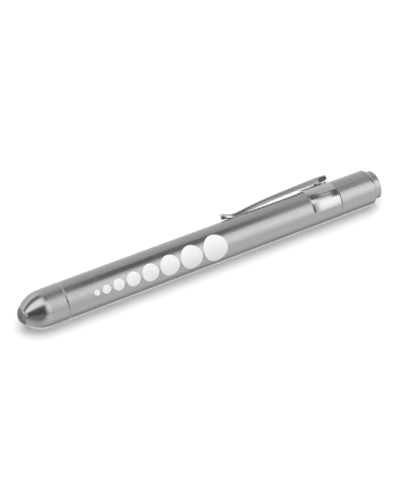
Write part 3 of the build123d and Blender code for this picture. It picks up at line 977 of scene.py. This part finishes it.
# %% Loft the arm
flex = next(joint for joint in frame["joints"] if joint["name"] == "clip_flex")
CLIP_OUT = Vector((0, -flex["axis"][2], flex["axis"][1]))
CLIP_LEAN = -math.atan2(CLIP_OUT.y, CLIP_OUT.z)
ARM_SHEET, ARM_EDGE_R = 0.32 * MM, 0.04 * MM
LIP_START, LIP_SIDE_HEIGHT, LIP_WIDEN = -39.5 * MM, 7.5 * MM, 1.35
# each station: place along the torch, height of the back and of the rims, half width, in mm
STATIONS = [
    (0.30, 9.30, 8.10, 0.80),
    (0.12, 9.55, 7.50, 1.06),
    (-3.1, 9.72, 7.06, 2.00),
    (-3.9, 9.71, 7.20, 2.04),
    (-4.6, 9.70, 7.58, 2.00),
    (-14.0, 9.42, 7.55, 1.84),
    (-22.0, 9.14, 7.24, 1.70),
    (-29.0, 8.70, 6.84, 1.60),
    (-34.5, 8.08, 6.50, 1.54),
    (-37.2, 7.78, 6.42, 1.50),
    (-38.8, 7.88, 6.46, 1.38),
    (-40.2, 8.45, 6.66, 1.18),
    (-41.7, 9.06, 6.88, 0.96),
    (-42.7, 9.02, 7.25, 0.70),
]
start_clean()
bpy.ops.mesh.primitive_circle_add(
    vertices=12, radius=1.0, fill_type="NOTHING", rotation=(0, math.pi / 2, 0)
)
arm = bpy.context.object
apply_place(arm)
edit(arm)
pick(arm, "VERT", lambda p: p.z < -0.01)
bpy.ops.mesh.delete(type="VERT")
# straighten the sides, so that they lean in by a third of their height, and widen the back
for low, high, widen in ((0.4, 0.6, 0.95), (0.8, 0.9, 1.38)):
    pick_none()
    pick(arm, "VERT", lambda p: low < p.z < high)
    stretch_picked(1, widen, 1, (0, 0, 0))
pick_all()
x0, back0, rim0, half0 = (value * MM for value in STATIONS[0])
stretch_picked(1, half0, back0 - rim0, (0, 0, 0))
bpy.ops.transform.translate(value=(x0, 0, rim0))
for station in STATIONS[1:]:
    x1, back1, rim1, half1 = (value * MM for value in station)
    bpy.ops.mesh.extrude_edges_move()
    bpy.ops.transform.translate(value=(x1 - x0, 0, rim1 - rim0))
    grow = (back1 - rim1) / (back0 - rim0)
    stretch_picked(1, half1 / half0, grow, (x1, 0, rim1))
    x0, back0, rim0, half0 = x1, back1, rim1, half1
bpy.ops.mesh.edge_face_add()
pick_none()
pick(arm, "VERT", lambda p: p.x > (STATIONS[0][0] - 0.05) * MM)
bpy.ops.mesh.edge_face_add()
# the lip is pinched, so its sides lean out instead of in
pick_none()
pick(arm, "VERT", lambda p: p.x < LIP_START and p.z > LIP_SIDE_HEIGHT)
stretch_picked(1, LIP_WIDEN, 1, (0, 0, 0))
pick_all()
bpy.ops.mesh.normals_make_consistent(inside=False)
done_editing()
back_faces = [f for f in arm.data.polygons if abs(f.center.y) < 0.3 * MM and f.center.x < -MM]
sheet_side = -1.0 if sum(f.normal.z for f in back_faces) > 0 else 1.0
add_modifier(arm, "SUBSURF", levels=2, render_levels=2, boundary_smooth="PRESERVE_CORNERS")
add_modifier(arm, "SOLIDIFY", thickness=ARM_SHEET, offset=sheet_side, use_even_offset=True)
add_modifier(
    arm, "BEVEL", width=ARM_EDGE_R, segments=2, limit_method="ANGLE", angle_limit=math.radians(50)
)
arm.rotation_euler = (CLIP_LEAN, 0, 0)
finish_piece(arm, "clip_spring_arm", "clip_arm", chrome, 50)
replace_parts(arm, "clip_arm")

# %% [markdown]
# The trough is open below, so a small block fills it where the arm stands on the band's pad.

# %% The block that the arm stands on
BLOCK_X, BLOCK_HEIGHT, BLOCK_TOP = -2.75 * MM, 8.2 * MM, 8.6 * MM
start_clean()
bpy.ops.mesh.primitive_cube_add(size=1.0, location=(BLOCK_X, 0, BLOCK_HEIGHT))
block = bpy.context.object
block.scale = (3.5 * MM, 2.6 * MM, 0.96 * MM)
apply_place(block)
edit(block, "FACE")
pick(block, "FACE", lambda p: p.z > BLOCK_TOP)
stretch_picked(0.94, 0.8, 1.0, (BLOCK_X, 0, BLOCK_TOP))
done_editing()
add_modifier(block, "BEVEL", width=0.12 * MM, segments=3)
block.rotation_euler = (CLIP_LEAN, 0, 0)
finish_piece(block, "clip_arm_block", "clip_arm", chrome, 40)

# %% [markdown]
# ## Inside the lamp
# Through the lens one sees a round LED: a bright cup on one wire holds a drop of yellow
# phosphor, which hides the chip, and a second post stands beside it. They are tiny, but they
# are the only coloured thing behind the glass.

# %% LED cup
led_low, led_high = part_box("led_body")
CUP_PLACE = led_low.x + 3.9 * MM
CUP_R, CUP_LENGTH = 0.75 * MM, 1.1 * MM
CUP_RIM, CUP_DEPTH = 0.12 * MM, 0.42 * MM
CUP_Y = LEAD_OFFSET - CUP_R
DROP_R, DROP_FLATNESS = 0.52 * MM, 0.42
POST_WIDTH = 0.5 * MM
phosphor = plastic("led_phosphor", (0.78, 0.62, 0.06), (0.90, 0.78, 0.16), 0.5, 0.65, 9000.0, 4e-6)
start_clean()
bpy.ops.mesh.primitive_cylinder_add(
    vertices=40,
    radius=CUP_R,
    depth=CUP_LENGTH,
    location=(CUP_PLACE, CUP_Y, 0),
    rotation=(0, -math.pi / 2, 0),
)
cup = bpy.context.object
apply_place(cup)
cup_front = CUP_PLACE - CUP_LENGTH / 2
edit(cup, "FACE")
pick(cup, "FACE", lambda p: p.x < cup_front + 0.01 * MM)
bpy.ops.mesh.inset(thickness=CUP_RIM)
bpy.ops.mesh.extrude_region_move(TRANSFORM_OT_translate={"value": (CUP_DEPTH, 0, 0)})
stretch_picked(1, 0.5, 0.5, (cup_front, CUP_Y, 0))
done_editing()
finish_piece(cup, "led_reflector_cup", "lamp", tinned, 30)

# %% Phosphor drop
start_clean()
bpy.ops.mesh.primitive_uv_sphere_add(
    segments=32,
    ring_count=16,
    radius=DROP_R,
    location=(cup_front + 0.2 * MM, CUP_Y, 0),
)
drop = bpy.context.object
drop.scale = (DROP_FLATNESS, 1, 1)
finish_piece(drop, "led_phosphor_drop", "lamp", phosphor, 60)

# %% Posts
for sign, front in ((1, CUP_PLACE + 0.5 * MM), (-1, CUP_PLACE - 0.3 * MM)):
    start_clean()
    rear = led_high.x - 0.05 * MM
    bpy.ops.mesh.primitive_cube_add(
        size=1.0, location=((front + rear) / 2, sign * LEAD_OFFSET, 0)
    )
    post = bpy.context.object
    post.scale = (rear - front, POST_WIDTH, POST_WIDTH)
    apply_place(post)
    edit(post, "FACE")
    pick(post, "FACE", lambda p: p.x < front + 0.01 * MM)
    bpy.ops.mesh.extrude_region_move(TRANSFORM_OT_translate={"value": (-0.15 * MM, 0, 0)})
    bpy.ops.transform.translate(value=(0, -sign * 0.12 * MM, 0))
    done_editing()
    add_modifier(post, "BEVEL", width=0.06 * MM, segments=2)
    finish_piece(
        post, "led_cup_post" if sign > 0 else "led_wire_post", "lamp", tinned, 40
    )

# %% [markdown]
# ## Floor
# The torch lies on a plain pale table. Only a soft contact shadow says that it touches, and
# far away the table goes over into the white backdrop, so no horizon shows. A polished tube
# mirrors a narrow strip of the table along its own length, so for mirror rays the table glows
# with painted tones across Y: a painted contact shadow, a painted bright strip right under the
# tube, and calm grey further out. In front of the lens painted shade darkens the camera's side.

# %% Floor
def ramp(tree, value, low, high, stops):
    """A soft colour ramp over a value, from pairs of a place and a brightness."""
    share = map_range(tree, value, low, high, 0.0, 1.0)
    node = add_node(tree, "ShaderNodeValToRGB")
    node.color_ramp.interpolation = "EASE"
    elements = node.color_ramp.elements
    while len(elements) > 1:
        elements.remove(elements[-1])
    for index, (place, level) in enumerate(stops):
        position = (place - low) / (high - low)
        element = elements[0] if index == 0 else elements.new(position)
        element.position = position
        element.color = (level, level, level, 1.0)
    link(tree, share, node.inputs["Fac"])
    return node.outputs["Color"]


start_clean()
bpy.ops.mesh.primitive_grid_add(
    x_subdivisions=8, y_subdivisions=8, size=8.0, location=(0, 0, -BODY_R)
)
floor = bpy.context.object
apply_place(floor)
floor.name = "floor"
table, tree, shader = new_material("pale_table")
shader.inputs["Base Color"].default_value = (0.86, 0.86, 0.86, 1.0)
shader.inputs["Roughness"].default_value = 0.9
shader.inputs["Specular IOR Level"].default_value = 0.1
place = coordinates(tree)
axes = split_axes(tree, place)
# for mirror rays the table glows with a painted reflection: a dark painted contact shadow and a
# painted bright strip under the tube
painted_glow = add_node(tree, "ShaderNodeEmission")
# each tone: place across the torch in mm, and brightness
TABLE_PAINTED_TONES = [(-60, 0.63), (-17, 0.62), (-13, 0.60), (-11, 0.56), (-9, 0.44), (-7.7, 0.33)]
TABLE_PAINTED_TONES += [(-6.6, 0.28), (-5.6, 0.36), (-4.8, 0.70), (-4, 1.05), (-3.2, 1.3), (-1, 1.3)]
TABLE_PAINTED_TONES += [(0.5, 1.1), (2, 0.55), (5, 0.35), (9, 0.5), (15, 0.8), (21, 0.95), (29, 0.88)]
TABLE_PAINTED_TONES += [(48, 0.74), (60, 0.67)]
TONES_REACH = 60 * MM


def tones_across(tones):
    stops = [(y * MM, tone) for y, tone in tones]
    return ramp(tree, axes["Y"], -TONES_REACH, TONES_REACH, stops)


across = tones_across(TABLE_PAINTED_TONES)
LENS_BLEND = (FRONT_SEAM - 18 * MM, FRONT_SEAM - 3 * MM)
beyond_lens = map_range(tree, axes["X"], *LENS_BLEND, 1.0, 0.0, smooth=True)
# in front of the lens these painted tones are darker on the camera's side, as painted shade
LENS_PAINTED_TONES = [(-60, 0.18), (-30, 0.22), (-20, 0.28), (-13, 0.40), (-8, 0.47), (0, 0.52)]
LENS_PAINTED_TONES += [(20, 0.60), (60, 0.62)]
in_front = tones_across(LENS_PAINTED_TONES)
link(tree, colour_mix(tree, beyond_lens, across, in_front), painted_glow.inputs["Color"])
light_path = add_node(tree, "ShaderNodeLightPath")
is_glossy = light_path.outputs["Is Glossy Ray"]
near_look = mix_shader(tree, is_glossy, shader.outputs[0], painted_glow.outputs[0])
FADE_FROM, FADE_TO = 0.35, 1.3
reach = add_node(tree, "ShaderNodeVectorMath", operation="LENGTH")
link(tree, place, reach.inputs[0])
far_off = map_range(tree, reach.outputs["Value"], FADE_FROM, FADE_TO, 0.0, 1.0, smooth=True)
white = add_node(tree, "ShaderNodeEmission")
seen_far = math_node(tree, "MULTIPLY", far_off, light_path.outputs["Is Camera Ray"])
look = mix_shader(tree, seen_far, near_look, white.outputs[0])
link(tree, look, tree.nodes["Material Output"].inputs["Surface"])
floor.data.materials.append(table)

# %% [markdown]
# ## Light
# A bare metal tube shows nothing but its surroundings, so the studio is drawn as the metal
# sees it: soft bands of tone around the torch's axis. Along the tube a large bright softbox
# stands beside the camera, the ceiling has a narrow dark joint, and the back is mid grey.
# Towards the lens end the softbox is overhead and the camera's own side is dark. Straight
# past the lens it is mid grey, and past the tail there is a dark doorway. The world holds
# these tones, and soft lamps that mirrors don't see light the print and the table.

# %% World
world = bpy.data.worlds.new("soft_studio")
bpy.context.scene.world = world
world.use_nodes = True
tree = world.node_tree
tree.nodes.clear()
axes = split_axes(tree, coordinates(tree, "Generated"))
around = math_node(tree, "ARCTAN2", axes["Z"], axes["Y"])
degrees = math_node(tree, "MULTIPLY", around, 180 / math.pi)
# each tone: angle around the torch's axis in degrees, from +Y over +Z to -Y, and brightness
TAIL_SIDE = [(0, 0.61), (14, 0.54), (32, 0.49), (46, 0.45), (56, 0.41), (66, 0.46)]
TAIL_SIDE += [(71, 0.44), (73, 0.16), (76, 0.16), (78, 0.44), (84, 0.42), (90, 0.35)]
TAIL_SIDE += [(94, 0.32), (99, 0.42), (105, 0.68), (115, 0.90), (125, 0.97), (135, 1.02)]
TAIL_SIDE += [(145, 0.98), (155, 0.88), (165, 0.78), (172, 0.68), (173.5, 0.44), (175, 0.66)]
TAIL_SIDE += [(180, 0.64)]
LENS_SIDE = [(0, 0.50), (12, 0.50), (27, 0.75), (38, 0.62), (44, 0.40), (50, 0.16), (61, 0.16)]
LENS_SIDE += [(66, 0.30), (73, 0.80), (86, 1.0), (104, 0.98), (110, 0.80), (118, 0.30)]
LENS_SIDE += [(127, 0.12), (142, 0.08), (158, 0.09), (170, 0.15), (180, 0.24)]
PAST_LENS_TONE, DOOR_TONE = (0.55, 0.55, 0.55), (0.10, 0.10, 0.10)
tail_tones = ramp(tree, degrees, 0.0, 180.0, TAIL_SIDE)
lens_tones = ramp(tree, degrees, 0.0, 180.0, LENS_SIDE)
# X of a direction runs from -1, straight past the lens, to 1, straight past the tail
TAIL_BLEND, LENS_PATCH, DOOR_REACH = (-0.06, 0.30), (-0.97, -0.90), (0.52, 0.68)
towards_tail = map_range(tree, axes["X"], *TAIL_BLEND, 0.0, 1.0, smooth=True)
room = colour_mix(tree, towards_tail, lens_tones, tail_tones)
past_lens = map_range(tree, axes["X"], *LENS_PATCH, 1.0, 0.0, smooth=True)
room = colour_mix(tree, past_lens, room, PAST_LENS_TONE)
past_tail = map_range(tree, axes["X"], *DOOR_REACH, 0.0, 1.0, smooth=True)
door_sides = [
    map_range(tree, degrees, 62.0, 74.0, 0.0, 1.0, smooth=True),
    map_range(tree, degrees, 108.0, 120.0, 1.0, 0.0, smooth=True),
]
for door_side in door_sides:
    past_tail = math_node(tree, "MULTIPLY", past_tail, door_side)
room = colour_mix(tree, past_tail, room, DOOR_TONE)
studio = add_node(tree, "ShaderNodeBackground")
link(tree, room, studio.inputs["Color"])
backdrop = add_node(tree, "ShaderNodeBackground")
backdrop.inputs["Color"].default_value = (1.0, 1.0, 1.0, 1.0)
light_path = add_node(tree, "ShaderNodeLightPath")
is_camera = light_path.outputs["Is Camera Ray"]
look = mix_shader(tree, is_camera, studio.outputs[0], backdrop.outputs[0])
output = add_node(tree, "ShaderNodeOutputWorld")
link(tree, look, output.inputs["Surface"])

# %% [markdown]
# A black flag that hangs close to a shiny tube draws a dark line along it. This one is a
# plane above the barrel with soft edges, so the line is deep near the head and fades out
# before the clip. Only mirror rays meet it.

# %% Dark flag
FLAG_PLACE, FLAG_SIZE = (0.04, 0.075, 0.30), (0.20, 0.22, 1.0)
# each soft edge: axis, where it begins and ends in metres, and the cover before and after it
FLAG_EDGES = [
    ("X", -0.055, -0.03, 0.0, 1.0),
    ("X", 0.06, 0.125, 1.0, 0.0),
    ("Y", -0.032, -0.016, 0.0, 1.0),
    ("Y", 0.135, 0.175, 1.0, 0.0),
]
start_clean()
bpy.ops.mesh.primitive_grid_add(x_subdivisions=4, y_subdivisions=4, size=1.0, location=FLAG_PLACE)
flag = bpy.context.object
flag.scale = FLAG_SIZE
apply_place(flag)
flag.name = "dark_flag"
cloth, tree, shader = new_material("flag_cloth")
axes = split_axes(tree, coordinates(tree))
edges = [map_range(tree, axes[axis], *numbers, smooth=True) for axis, *numbers in FLAG_EDGES]
cover = edges[0]
for edge_share in edges[1:]:
    cover = math_node(tree, "MULTIPLY", cover, edge_share)
tone = add_node(tree, "ShaderNodeEmission")
tone.inputs["Color"].default_value = (0.12, 0.12, 0.12, 1.0)
see_through = add_node(tree, "ShaderNodeBsdfTransparent")
look = mix_shader(tree, cover, see_through.outputs[0], tone.outputs[0])
link(tree, look, tree.nodes["Material Output"].inputs["Surface"])
flag.data.materials.append(cloth)
for ray in ("camera", "diffuse", "transmission", "volume_scatter", "shadow"):
    setattr(flag, f"visible_{ray}", False)

# %% [markdown]
# Three round area lamps light the print, the plastics and the table. They are large, so the
# contact shadow stays soft, and mirror rays don't see them.

# %% Soft lamps
def soft_lamp(name, place, size, power):
    start_clean()
    bpy.ops.object.light_add(type="AREA", location=place)
    lamp = bpy.context.object
    lamp.name = name
    lamp.data.shape = "DISK"
    lamp.data.size = size
    lamp.data.energy = power
    lamp.rotation_euler = (middle - Vector(place)).to_track_quat("-Z", "Y").to_euler()
    lamp.visible_glossy = False
    lamp.visible_transmission = False
    lamp.visible_camera = False


soft_lamp("overhead_softbox", (-0.05, -0.15, 1.6), 1.8, 22.0)
soft_lamp("left_softbox", (-1.2, -0.9, 0.9), 1.2, 5.0)
soft_lamp("right_softbox", (1.0, 0.9, 1.0), 1.2, 5.0)
